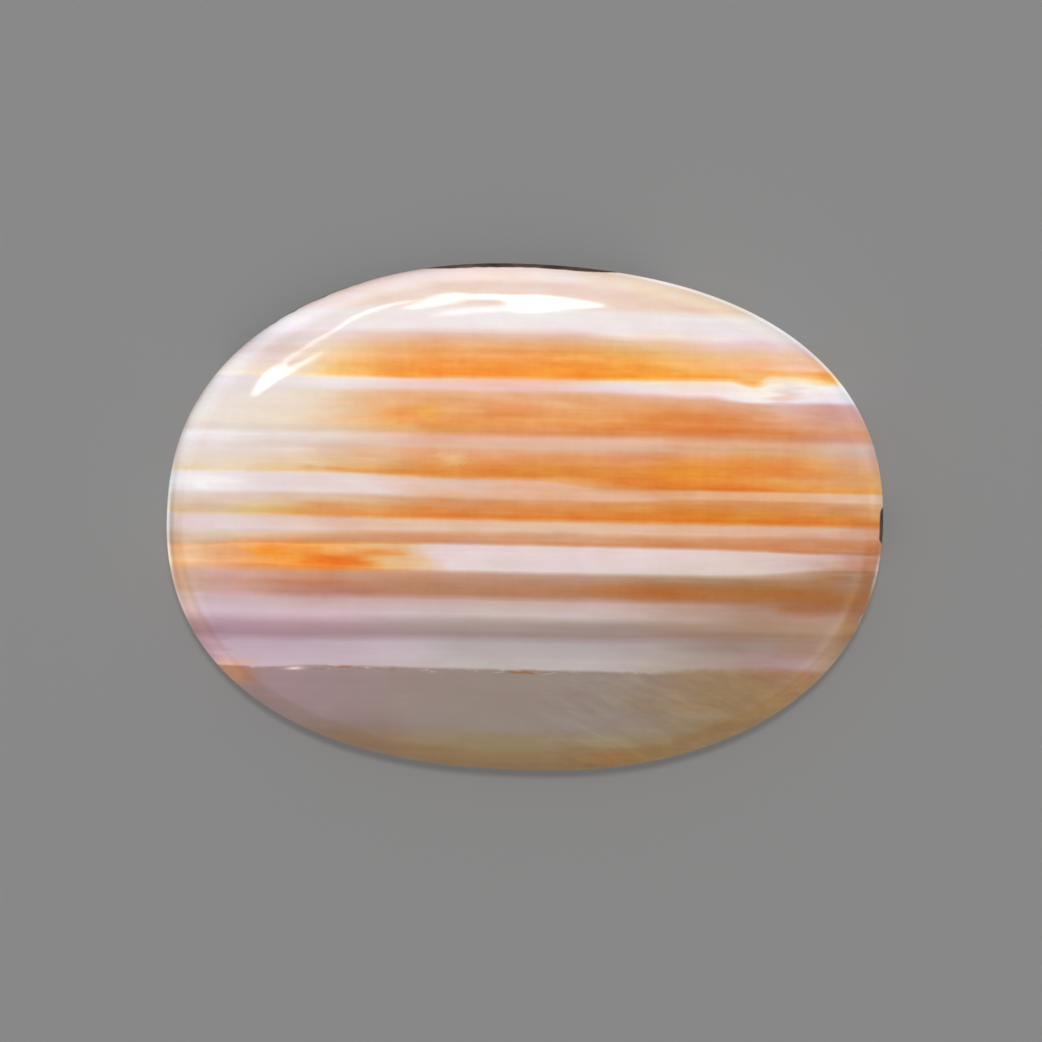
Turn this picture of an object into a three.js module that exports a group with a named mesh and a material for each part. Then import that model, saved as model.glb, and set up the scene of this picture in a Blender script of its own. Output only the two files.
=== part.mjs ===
// An oval cabochon of banded agate: flat back, thin girdle, polished dome.
// Millimetres, +Z up. The stone lies on its back, with the origin at the middle of its footprint.
// +X runs along the long axis, which the stone's bands follow.
import * as THREE from "three";

// Driving dimensions
const LENGTH = 26.96; // of the smooth oval, before the drift of the hand-cut outline
const WIDTH = 19.03; // of the same oval
const HEIGHT = 5.75; // from the back to the crown
const SQUARENESS = 2.26; // exponent of the outline, where 2 is an ellipse
const DRIFT = [
  { lobes: 3, cos: -0.023, sin: 0.013 },
  { lobes: 4, cos: 0.02, sin: 0.05 },
]; // how far the hand-cut outline strays from the oval

// The section through the short axis
const BACK_BEVEL = 0.35; // 45 degree bevel round the flat back
const GIRDLE_TOP = 1.5; // height of the widest line
const GIRDLE_TAPER = 0.12; // how much the wall draws in from the widest line to the bevel
const GIRDLE_ROUND = 0.16; // how far the softened widest line reaches above and below
const RIM_WIDTH = 0.7; // steep strip between the girdle and the dome
const RIM_TOP = 2.75; // height of the soft crease where the dome starts
const RIM_BULGE = 0.1; // how far the strip's curve is drawn out and up from its straight line
const SHOULDER = 0.25; // share of the dome's fall that is left to its outer part

// Mesh steps
const SEGMENTS = 112; // round the outline
const CURVE_STEPS = 4; // in each softened corner of the section
const DOME_RINGS = 14;

// The colour is the mean of the orange, white and mauve bands.
const bandedAgate = new THREE.MeshStandardMaterial({
  color: 0xcf9f80,
  roughness: 0.1,
  metalness: 0,
});

// Half the section of a round blank, from the middle of the back to the crown.
function blankSection() {
  const edge = WIDTH / 2;
  const wall = edge - GIRDLE_TAPER;
  const shoulder = edge - RIM_WIDTH;
  const rounded = edge - GIRDLE_ROUND * (RIM_WIDTH / (RIM_TOP - GIRDLE_TOP));
  const bulge = {
    across: (rounded + shoulder) / 2 + RIM_BULGE,
    up: (GIRDLE_TOP + RIM_TOP) / 2 + RIM_BULGE,
  };
  const section = new THREE.Path();
  section.moveTo(0, 0);
  section.lineTo(wall - BACK_BEVEL, 0);
  section.lineTo(wall, BACK_BEVEL);
  section.lineTo(edge, GIRDLE_TOP - GIRDLE_ROUND);
  section.quadraticCurveTo(edge, GIRDLE_TOP, rounded, GIRDLE_TOP + GIRDLE_ROUND);
  section.quadraticCurveTo(bulge.across, bulge.up, shoulder, RIM_TOP);
  const points = section.getPoints(CURVE_STEPS);
  for (let ring = DOME_RINGS - 1; ring >= 0; ring--) {
    const reach = ring / DOME_RINGS;
    const fall = (1 - SHOULDER) * reach ** 2 + SHOULDER * reach ** 4;
    points.push(new THREE.Vector2(shoulder * reach, RIM_TOP + (HEIGHT - RIM_TOP) * (1 - fall)));
  }
  return points;
}

// Distance from the middle to the outline in the direction of a polar angle.
function outlineReach(angle) {
  const along = Math.abs((2 * Math.cos(angle)) / LENGTH) ** SQUARENESS;
  const across = Math.abs((2 * Math.sin(angle)) / WIDTH) ** SQUARENESS;
  const drift = DRIFT.reduce(
    (sum, { lobes, cos, sin }) => sum + cos * Math.cos(lobes * angle) + sin * Math.sin(lobes * angle),
    0,
  );
  return (along + across) ** (-1 / SQUARENESS) + drift;
}

// The outline's point for a turn of the round blank, closer together at the stone's ends.
function outlinePoint(turn) {
  const angle = Math.atan2(WIDTH * Math.sin(turn), LENGTH * Math.cos(turn));
  return new THREE.Vector2(Math.cos(angle), Math.sin(angle)).multiplyScalar(outlineReach(angle));
}

// The direction straight out of the outline there.
function outlineNormal(turn) {
  const step = 1e-3;
  const tangent = outlinePoint(turn + step).sub(outlinePoint(turn - step)).normalize();
  return new THREE.Vector2(tangent.y, -tangent.x);
}

// Carries a point of the round blank to the oval. The girdle and the rim keep their width all round, and
// inside them the rings go from the outline's form at the rim to an ellipse at the crown.
function ovalPoint(radius, turn) {
  const edge = WIDTH / 2;
  const shoulder = edge - RIM_WIDTH;
  const inset = outlineNormal(turn).multiplyScalar(-Math.min(edge - radius, RIM_WIDTH));
  const rim = outlinePoint(turn).add(inset);
  if (radius >= shoulder) return rim;
  const reach = radius / shoulder;
  const ellipse = new THREE.Vector2(
    (LENGTH / 2 - RIM_WIDTH) * Math.cos(turn),
    (WIDTH / 2 - RIM_WIDTH) * Math.sin(turn),
  );
  return ellipse.lerp(rim, reach ** 2).multiplyScalar(reach);
}

function makeCabochon() {
  const geometry = new THREE.LatheGeometry(blankSection(), SEGMENTS);
  geometry.rotateX(Math.PI / 2);
  const position = geometry.getAttribute("position");
  for (let i = 0; i < position.count; i++) {
    const radius = Math.hypot(position.getX(i), position.getY(i));
    const turn = Math.atan2(position.getY(i), position.getX(i));
    const { x, y } = ovalPoint(radius, turn);
    position.setXY(i, x, y);
  }
  geometry.computeBoundingBox();
  const middle = geometry.boundingBox.getCenter(new THREE.Vector3());
  geometry.translate(-middle.x, -middle.y, 0);
  geometry.computeVertexNormals();

  const cabochon = new THREE.Mesh(geometry, bandedAgate);
  cabochon.name = "agate_cabochon";
  return cabochon;
}

const agate = new THREE.Group();
agate.add(makeCabochon());
export default agate;
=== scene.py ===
"""An oval cabochon of banded agate, lying on its flat back on a pale floor.

Lengths are in millimetres, and mesh_from() turns them to metres. +X follows the stone's bands, +Y crosses
them towards the rose and white side, and +Z comes out of the dome.
"""
from typing import NamedTuple

import bpy
import numpy as np
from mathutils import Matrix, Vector


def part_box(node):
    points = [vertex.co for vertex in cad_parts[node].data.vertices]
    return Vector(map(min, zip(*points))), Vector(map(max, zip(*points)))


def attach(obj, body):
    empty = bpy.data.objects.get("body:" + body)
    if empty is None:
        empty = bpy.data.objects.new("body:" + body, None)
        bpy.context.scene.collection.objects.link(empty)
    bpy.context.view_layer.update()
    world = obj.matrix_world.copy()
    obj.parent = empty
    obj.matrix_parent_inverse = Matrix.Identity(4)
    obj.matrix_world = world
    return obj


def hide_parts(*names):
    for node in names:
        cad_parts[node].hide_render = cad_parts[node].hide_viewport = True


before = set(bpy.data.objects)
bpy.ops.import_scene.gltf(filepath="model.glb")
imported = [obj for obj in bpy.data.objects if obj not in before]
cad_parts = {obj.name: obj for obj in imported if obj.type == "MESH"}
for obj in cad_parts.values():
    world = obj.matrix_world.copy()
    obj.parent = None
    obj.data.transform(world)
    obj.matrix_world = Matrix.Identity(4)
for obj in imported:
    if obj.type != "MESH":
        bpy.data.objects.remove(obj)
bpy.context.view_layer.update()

MM = 0.001
STONE = "agate_cabochon"
REACH_X, REACH_Y, HEIGHT = np.array(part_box(STONE)[1]) / MM

# The photograph's frame, and where the stone lies in it
FRAME_PX = 1042
STONE_PX = (524.9, 516.9)
STONE_LONG_PX = 717
STONE_ROLL = np.radians(1.15)  # clockwise, as seen in the photograph
LENS = 200.0
SENSOR = 36.0

# The outline, as cut: a superellipse with a few hundredths of a millimetre of lobes
SQUARENESS = 2.26
DRIFT = ((1, -0.012, -0.068), (2, 0, 0.017), (3, 0.008, -0.036), (4, 0.01, 0.05))  # lobes, cosine, sine

# The section through the short axis
BACK_BEVEL = 0.35
GIRDLE_TOP = 1.5
GIRDLE_TAPER = 0.12
GIRDLE_ROUND = 0.16
RIM_WIDTH = 0.7
RIM_TOP = 2.75
RIM_BULGE = 0.1
SHOULDER = 0.25
EDGE_POLISH = 0.05  # how far the polish rounds a crisp edge
CREASE_POLISH = 0.13  # the crease, where it still shows
CREASE_WEAR = 0.34  # and where it is polished away
CREASE_REACH = (1.2, 0.35)  # from the crease: where its own polish begins, and where it is all
SECTION_STEP = 0.01
BACK_LEVEL = 0.002  # the flat back lies below this height
CREASE_SHOWS = ((-150, 38), (-28, 34))  # turn and reach in degrees of the places where it shows
POLISH_WAVE = 0.004  # height of the faint waves that hand polishing leaves
WAVES = ((1, 0.71, 0.4, 0.5), (0.8, 0.35, -0.92, 1.9), (0.5, 1.3, 1.1, 0))  # share, along X, along Y, phase

# Mesh steps
DOME_CELLS = 192
RIM_RINGS = 46
BACK_RINGS = 9

rng = np.random.default_rng(2220)


# Shape of the stone


def smoothstep(start, end, value):
    """0 before start, 1 after end, and an even S between."""
    t = np.clip((value - start) / (end - start), 0, 1)
    return t * t * (3 - 2 * t)


def bend(start, corner, end, steps=40):
    """Quadratic curve from start to end, pulled towards the corner."""
    t = np.linspace(0, 1, steps)[:, None]
    return (1 - t) ** 2 * np.array(start) + 2 * t * (1 - t) * np.array(corner) + t**2 * np.array(end)


def softened(line, reach):
    """The line with its corners rounded: each point becomes the bell-weighted mean of its neighbours."""
    half = int(3 * reach / SECTION_STEP)
    bell = np.exp(-0.5 * (np.arange(-half, half + 1) * SECTION_STEP / reach) ** 2)
    padded = np.pad(line, ((half, half), (0, 0)), mode="reflect", reflect_type="odd")
    return np.stack([np.convolve(column, bell / bell.sum(), mode="valid") for column in padded.T], axis=-1)


def crown_height(reach):
    """Height of the dome at a share of its radius. It falls with the share's second and fourth powers."""
    return RIM_TOP + (HEIGHT - RIM_TOP) * (1 - ((1 - SHOULDER) * reach**2 + SHOULDER * reach**4))


def section_line():
    """Radius and height along half the round blank's section, from the crown over the rim to the middle of
    the back, at even steps: the dome, a bowed rim, a softened widest line, a tapered girdle, a bevel and the
    flat back."""
    edge = REACH_Y
    shoulder = edge - RIM_WIDTH
    reach = np.linspace(0, 1, 200)
    dome = np.stack((shoulder * reach, crown_height(reach)), axis=-1)
    rounded = edge - GIRDLE_ROUND * RIM_WIDTH / (RIM_TOP - GIRDLE_TOP)
    bulge = ((rounded + shoulder) / 2 + RIM_BULGE, (GIRDLE_TOP + RIM_TOP) / 2 + RIM_BULGE)
    rim = bend((shoulder, RIM_TOP), bulge, (rounded, GIRDLE_TOP + GIRDLE_ROUND))
    widest = bend(rim[-1], (edge, GIRDLE_TOP), (edge, GIRDLE_TOP - GIRDLE_ROUND))
    wall = edge - GIRDLE_TAPER
    back = np.array([(wall, BACK_BEVEL), (wall - BACK_BEVEL, 0), (0, 0)])
    line = np.concatenate((dome, rim[1:], widest[1:], back))
    run = np.concatenate(([0], np.cumsum(np.linalg.norm(np.diff(line, axis=0), axis=1))))
    even = np.linspace(0, run[-1], int(run[-1] / SECTION_STEP) + 1)
    return np.stack([np.interp(even, run, column) for column in line.T], axis=-1)


SHARP_SECTION = softened(section_line(), EDGE_POLISH)
CREASED_SECTION = softened(section_line(), CREASE_POLISH)
WORN_SECTION = softened(section_line(), CREASE_WEAR)
SHOULDER_INDEX = int(np.argmax(SHARP_SECTION[:, 0] >= REACH_Y - RIM_WIDTH))
BACK_INDEX = int(np.argmax(np.arange(len(SHARP_SECTION)) * (SHARP_SECTION[:, 1] > BACK_LEVEL)))


def dome_place(radius):
    """The place along the section where the dome has this radius."""
    return np.interp(radius, SHARP_SECTION[: SHOULDER_INDEX + 1, 0], np.arange(SHOULDER_INDEX + 1))


def outline_point(turn):
    """The widest line at a turn of the round blank, by the superellipse and its drift in polar form."""
    angle = np.arctan2(REACH_Y * np.sin(turn), REACH_X * np.cos(turn))
    along = np.abs(np.cos(angle) / REACH_X) ** SQUARENESS
    across = np.abs(np.sin(angle) / REACH_Y) ** SQUARENESS
    drift = sum(cos * np.cos(lobes * angle) + sin * np.sin(lobes * angle) for lobes, cos, sin in DRIFT)
    reach = (along + across) ** (-1 / SQUARENESS) + drift
    return np.stack((reach * np.cos(angle), reach * np.sin(angle)), axis=-1)


ALL_ROUND = outline_point(np.linspace(-np.pi, np.pi, 2881))
OUTLINE_MIDDLE = (ALL_ROUND.max(axis=0) + ALL_ROUND.min(axis=0)) / 2
OUTLINE_SCALE = 2 * np.array((REACH_X, REACH_Y)) / np.ptp(ALL_ROUND, axis=0)


def fitted_outline(turn):
    """The outline, centred and scaled to the solid's own box."""
    return (outline_point(turn) - OUTLINE_MIDDLE) * OUTLINE_SCALE


def oval_point(radius, turn):
    """Where a point of the round blank lies in the oval: the girdle and the rim keep their width, and inside
    them the rings go from the outline's form at the rim to an ellipse at the crown."""
    shoulder = REACH_Y - RIM_WIDTH
    step = 1e-3
    tangent = fitted_outline(turn + step) - fitted_outline(turn - step)
    tangent /= np.linalg.norm(tangent, axis=-1, keepdims=True)
    normal = np.stack((tangent[..., 1], -tangent[..., 0]), axis=-1)
    rim = fitted_outline(turn) - np.minimum(REACH_Y - radius, RIM_WIDTH)[..., None] * normal
    reach = np.minimum(radius / shoulder, 1)[..., None]
    ellipse = np.stack(((REACH_X - RIM_WIDTH) * np.cos(turn), shoulder * np.sin(turn)), axis=-1)
    return (ellipse * (1 - reach**2) + rim * reach**2) * reach


def crease_wear(turn):
    """How far the crease is polished away: 1, less a bell round each place where it still shows."""
    shows = 0
    for middle, reach in CREASE_SHOWS:
        off = np.degrees(np.angle(np.exp(1j * (turn - np.radians(middle)))))
        shows = np.maximum(shows, np.exp(-((off / reach) ** 2)))
    return 1 - shows


def section_point(index, turn):
    """Radius and height of the section at a turn. Near the crease it lies between the two polished forms."""
    steps = np.arange(len(SHARP_SECTION))
    near = smoothstep(*CREASE_REACH, np.abs(index - SHOULDER_INDEX) * SECTION_STEP)
    wear = crease_wear(turn)
    sharp, creased, worn = (
        np.stack([np.interp(index, steps, column) for column in section.T])
        for section in (SHARP_SECTION, CREASED_SECTION, WORN_SECTION)
    )
    return sharp + near * (creased + wear * (worn - creased) - sharp)


def surface(index, turn):
    """The stone's surface at a place along the section and a turn round it, with the waves of the polish,
    which only take away and fade out at the back."""
    radius, height = section_point(index, turn)
    x, y = np.moveaxis(oval_point(radius, turn), -1, 0)
    wave = sum(share * (np.sin(by_x * x + by_y * y + phase) - 1) for share, by_x, by_y, phase in WAVES)
    return np.stack((x, y, height + POLISH_WAVE * wave * (height / HEIGHT) ** 2), axis=-1)


def disk_grid(cells):
    """A square grid carried to a disk with no pole: how far out each point lies, from 0 to 1, and its turn.
    Each square ring of the grid becomes a circle."""
    line = np.linspace(-1, 1, cells + 1)
    p, q = np.meshgrid(line, line, indexing="ij")
    reach = np.maximum(np.abs(p), np.abs(q))
    flat = np.abs(p) >= np.abs(q)
    slope = np.divide(np.where(flat, q, p), np.where(flat, p, q), out=np.zeros_like(p), where=reach > 0)
    eighth = np.pi / 4 * slope
    return reach, np.where(flat, eighth + np.pi * (p < 0), np.pi / 2 - eighth + np.pi * (q < 0))


def grid_border(cells):
    """The grid's outer points in order, from the turn of -45 degrees round to it again."""
    index = np.arange((cells + 1) ** 2).reshape(cells + 1, cells + 1)
    return np.concatenate((index[-1, :-1], index[:0:-1, -1], index[0, :0:-1], index[:-1, 0]))


def quads(index):
    """The faces between neighbouring points of a grid, each by the numbers of its four corners."""
    return np.stack((index[:-1, :-1], index[1:, :-1], index[1:, 1:], index[:-1, 1:]), axis=-1).reshape(-1, 4)


class Chip(NamedTuple):
    """A scoop out of the edge: its turn in degrees, height, radius and depth."""

    turn: float
    height: float
    size: float
    depth: float


# A few chips on the girdle and at the back's edge
CHIPS = (
    Chip(96, 1.55, 0.2, 0.06),
    Chip(-22, 1.5, 0.3, 0.08),
    Chip(-76, 0.25, 0.3, 0.1),
    Chip(35, 0.2, 0.35, 0.1),
    Chip(-160, 0.3, 0.28, 0.09),
)
BACK_CHIPS = 34
NICKS = 18
SCOOP_SLANT = 0.35  # how much of a scoop goes up from the back's edge, or down from the girdle


def all_chips():
    """The chosen chips, small ones scattered along the back's edge, and fine nicks at the upper left."""
    pick = rng.uniform
    back = (
        Chip(pick(-180, 180), rng.choice((0.05, 0.34)), pick(0.08, 0.2), pick(0.02, 0.05))
        for _ in range(BACK_CHIPS)
    )
    nicks = (
        Chip(pick(116, 162), pick(1.35, 1.7), pick(0.1, 0.2), pick(0.01, 0.022)) for _ in range(NICKS)
    )
    return (*CHIPS, *back, *nicks)


def chip_away(points):
    """Scoops each chip out of the points, deepest in its middle, and gives back how deep each point went."""
    depth = np.zeros(len(points))
    below = np.arange(SHOULDER_INDEX, BACK_INDEX)
    for chip in all_chips():
        index = below[np.argmin(np.abs(SHARP_SECTION[below, 1] - chip.height))]
        turn = np.radians(chip.turn)
        centre = surface(np.float64(index), np.float64(turn))
        slant = SCOOP_SLANT if chip.height < GIRDLE_TOP / 2 else -SCOOP_SLANT
        inward = np.append(-centre[:2] / np.linalg.norm(centre[:2]), slant)
        away = np.linalg.norm((points - centre) * (1, 1, 1.3), axis=1) / chip.size
        scoop = chip.depth * np.clip(1 - away**2, 0, 1)
        points += scoop[:, None] * inward / np.linalg.norm(inward)
        depth = np.maximum(depth, np.clip(1.6 * (1 - away), 0, 1))
    return depth


def mesh_from(name, points, faces):
    """A smooth-shaded object from points in millimetres."""
    mesh = bpy.data.meshes.new(name)
    mesh.from_pydata((points * MM).tolist(), [], faces)
    mesh.polygons.foreach_set("use_smooth", np.ones(len(mesh.polygons), dtype=bool))
    mesh.update()
    piece = bpy.data.objects.new(name, mesh)
    bpy.context.collection.objects.link(piece)
    return piece


def keep(piece, name, values):
    """Keeps a number or a vector for each point of the piece, under a name that its material reads."""
    kind, field = ("FLOAT", "value") if values.ndim == 1 else ("FLOAT_VECTOR", "vector")
    layer = piece.data.attributes.new(name, kind, "POINT")
    layer.data.foreach_set(field, values.astype(np.float32).ravel())


def make_stone():
    """The dome is a grid without a pole. Rings hang from its border over the rim, the girdle and the bevel,
    and close in on the middle of the back."""
    reach, turn = disk_grid(DOME_CELLS)
    radii = np.minimum(reach * (REACH_Y - RIM_WIDTH), SHARP_SECTION[SHOULDER_INDEX, 0])
    dome_index = dome_place(radii)
    border = grid_border(DOME_CELLS)
    border_turn = turn.reshape(-1)[border]
    rim_index = np.linspace(SHOULDER_INDEX, BACK_INDEX, RIM_RINGS + 1)[1:]
    last = len(SHARP_SECTION) - 1
    back_index = last - (last - BACK_INDEX) * (1 - np.arange(1, BACK_RINGS) / BACK_RINGS)
    ring_index = np.concatenate((rim_index, back_index))
    rings = surface(ring_index[:, None] + 0 * border_turn, border_turn + 0 * ring_index[:, None])
    middle = surface(np.array([float(last)]), np.array([0.0]))
    points = np.concatenate((surface(dome_index, turn).reshape(-1, 3), rings.reshape(-1, 3), middle))

    index = np.arange((DOME_CELLS + 1) ** 2).reshape(DOME_CELLS + 1, DOME_CELLS + 1)
    ring_points = index.size + np.arange(rings.size // 3).reshape(len(ring_index), -1)
    loops = np.concatenate((border[None], ring_points))
    loops = np.column_stack((loops, loops[:, 0]))
    closing = np.stack((loops[-1, :-1], np.full(len(border), len(points) - 1), loops[-1, 1:]), axis=-1)

    chipped = chip_away(points)
    faces = [*quads(index).tolist(), *quads(loops).tolist(), *closing.tolist()]
    stone = mesh_from("agate_stone", points, faces)
    inset = REACH_Y - np.concatenate(
        (
            SHARP_SECTION[np.round(dome_index).astype(int), 0].reshape(-1),
            np.repeat(np.interp(ring_index, np.arange(last + 1), SHARP_SECTION[:, 0]), len(border)),
            [0.0],
        )
    )
    keep(stone, "inset", inset)
    keep(stone, "chipped", chipped)
    keep(stone, "sheet", sheet_at(points))
    keep(stone, "stained", stained_at(points))
    return stone


# Material of the stone


class Band(NamedTuple):
    """One sheet of the agate, down to the next. Its top is measured along the short axis of the dome. Each
    composition runs from the sheet's upper side to its lower side.
    Bleaching takes the iron and the lilac out of its left end, from the given X on, where pink is the lilac
    that is left. This pale left end is partly the stone's own and partly painted light from the left.
    East is what its right end has more of: iron, smoke, lilac."""

    name: str
    top: float
    iron: tuple
    smoke: tuple
    lilac: tuple
    bleach_and_light: tuple = (0, 0)
    bleach_and_light_x: float = -6
    pink: float = 0
    east: tuple = (0, 0, 0)
    edge: float = 0.07


BANDS = (
    Band("rose crest", 9.9, (0.18, 0.17), (-0.04, 0.03), (0.26, 0.2), east=(0.2, 0, -0.06)),
    Band("white lilac", 7.85, (0.05, 0.04), (0.06, 0.07), (0.05, 0.13), east=(0, 0, 0.06), edge=0.15),
    Band("apricot", 6.88, (0.27, 0.88), (0.17, 0.06), (0.29, 0.06), (0.75, 0.75), -5.6, 0,
         (-0.12, -0.04, 0.05), 0.16),
    Band("first orange", 6.02, (0.94, 1.62), (0, -0.1), (0.05, -0.48), (0.8, 0.75), -6.3, 0,
         (-0.08, -0.03, 0.3), 0.12),
    Band("shell line", 5.17, (0.31, 0.2), (0.09, 0.16), (0.34, 0.4), (0.8, 0.8), -4.6, 0,
         (-0.2, -0.12, -0.3), 0.1),
    Band("tan", 4.63, (0.57, 0.94), (0.19, 0.15), (0.16, 0.02), (0.8, 0.8), -6.1, 0,
         (-0.28, 0.07, 0.25), 0.12),
    Band("tan foot", 3.44, (1.02, 0.82), (0.18, 0.28), (0.1, 0.16), (0.8, 0.8), -5.7, 0,
         (0, 0.05, 0.1), 0.1),
    Band("pale rose", 3.01, (0.34, 0.33), (0.21, 0.31), (0.37, 0.18), (0.8, 0.7), -5.6, 0,
         (0.2, 0.03, -0.1), 0.11),
    Band("second orange", 2.47, (0.6, 1.34), (0.24, 0.2), (0.28, -0.28),
         (0.8, 0.6), -5.4, 0, (0.28, -0.07, -0.1), 0.12),
    Band("pale tan", 1.4, (0.4, 0.43), (0.27, 0.27), (0.26, 0.2), (0.85, 0.85), -4.1, 0.09,
         (0.13, -0.04, -0.1), 0.09),
    Band("deep orange", 0.63, (0.62, 1.38), (0.36, 0.21), (0.22, -0.13),
         (0.74, 0.4), -5, 0.02, (0.15, -0.02, -0.15), 0.12),
    Band("pale thread", -0.12, (0.32, 0.28), (0.3, 0.29), (0.12, 0.12), (0.5, 0.5), -7, 0.1,
         (0.05, 0, 0.16), 0.09),
    Band("rust thread", -0.62, (0.53, 0.68), (0.37, 0.46), (0.22, 0.24), (0.4, 0), -7, -0.1,
         (0.11, 0, 0.04), 0.08),
    Band("milk lens", -1.06, (0.06, 0.05), (0.31, 0.33), (0.19, 0.14), east=(0.05, 0.02, -0.08), edge=0.07),
    Band("rosewood", -2.09, (0.28, 0.46), (0.69, 0.78), (0.23, 0.22), east=(0.2, 0.17, -0.2), edge=0.09),
    Band("rust core", -2.62, (0.57, 0.47), (0.8, 0.81), (0.19, 0.29), (0.4, 0.4), -6, 0.02,
         (0.4, 0.03, -0.25), 0.1),
    Band("pale mauve", -3.04, (0.13, 0.03), (0.59, 0.57), (0.22, 0.1), east=(0.2, 0.34, 0), edge=0.12),
    Band("dusk", -3.82, (0.05, 0.03), (0.96, 1.14), (0.08, 0.12), east=(0.26, 0, -0.08), edge=0.18),
    Band("lilac", -4.55, (-0.04, 0), (0.86, 0.72), (0, -0.04), east=(0.15, 0.28, 0), edge=0.16),
    Band("grey mauve", -5.7, (0.03, 0.03), (1.22, 1.24), (-0.06, -0.12),
         east=(0.44, -0.1, -0.25), edge=0.05),
    Band("olive", -8.15, (0.27, 0.38), (1.16, 1.12), (-0.33, -0.3), east=(0.15, -0.15, -0.05), edge=0.3),
)
BAND_END = -9.9
# The upper and the lower half have a ramp each
SPLIT = next(band.top for band in BANDS if band.name == "deep orange")

# The topmost sheets lean a little
LEAN = -0.09
LEAN_FROM, LEAN_TO = 5.4, 7.0

# What light loses in a full measure of each: red, green, blue
IRON = (0.1, 1, 2.3)
SMOKE = (1, 1.2, 1.25)
LILAC = (0, 0.5, 0)


class Warp(NamedTuple):
    """Where the sheets are pushed out of their straight course: growing between two places along the bands
    and lasting from there on, about one line across them. A positive push carries them down."""

    starts: float
    full: float
    line: float
    reach: float
    push: float


WARPS = (
    Warp(1.5, 4, 6.8, 0.9, 0.2),
    Warp(6.8, 9, 6.8, 0.9, -0.2),
    Warp(-5, -9, 6.8, 0.9, 0.1),
    Warp(-2.5, -5, 5.2, 0.25, 0.08),
    Warp(2, 7, 5.2, 0.3, -0.08),
    Warp(7.5, 8.4, 5.25, 0.3, 0.21),  # the shell line dips at a knot, where the orange runs into it
    Warp(8.4, 9.1, 5.3, 0.3, -0.3),  # and rises beside it
    Warp(10.3, 11.4, 5.3, 0.3, 0.12),
    Warp(2.5, 4.5, 4.6, 0.25, 0.07),
    Warp(6.8, 8.4, 4.55, 0.25, 0.24),
    Warp(9.6, 10.4, 4.55, 0.25, -0.1),
    Warp(0.5, 5.5, 1.25, 0.45, 0.36),  # the pale tan narrows to a line
    Warp(-2, -9, 1.45, 0.25, -0.1),
    Warp(-1, -8, 0.68, 0.25, -0.12),
    Warp(2, 7, 0.7, 0.25, -0.26),
    Warp(-4, -8.5, -0.68, 0.2, 0.1),
    Warp(-5, -8.5, -1.1, 0.15, 0.07),
    Warp(-10.4, -12.4, -1.25, 0.3, 0.19),
    Warp(7, 11.5, -1.12, 0.2, 0.12),  # the milk lens tapers
    Warp(8.5, 12.5, -2, 0.3, -0.3),
    Warp(-1.5, -8, -3.95, 0.3, 0.14),
    Warp(-2, -9, -4.65, 0.3, 0.14),
    Warp(3, 8, -4.5, 0.3, -0.12),
    Warp(-7.5, -10, -5.7, 0.2, 0.12),
)


class Blur(NamedTuple):
    """A place where one sheet passes softly into the next: its X and its reach along the bands, the line
    between the sheets and its reach across it, and how soft it is, up to 1."""

    x: float
    along: float
    line: float
    across: float
    share: float


BLURS = (
    Blur(9.4, 1.4, 5.17, 0.35, 0.65),
    Blur(9.6, 0.7, 4.6, 0.3, 0.6),
    Blur(2.6, 1.9, 1.4, 0.35, 0.8),
    Blur(-12.7, 1.7, -1.05, 0.2, 0.6),
    Blur(11.5, 3.8, -2.12, 0.35, 0.8),
    Blur(-11, 4.5, -2.12, 0.35, 0.75),
    Blur(9, 5, -5.74, 0.7, 0.85),
    Blur(9, 4.5, -4.5, 0.35, 0.6),
)


class Stain(NamedTuple):
    """A spot that holds more or less of something than its sheet: its middle, how far it reaches along and
    across the bands, and what it adds in iron, smoke and lilac."""

    x: float
    y: float
    along: float
    across: float
    iron: float
    smoke: float
    lilac: float


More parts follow.
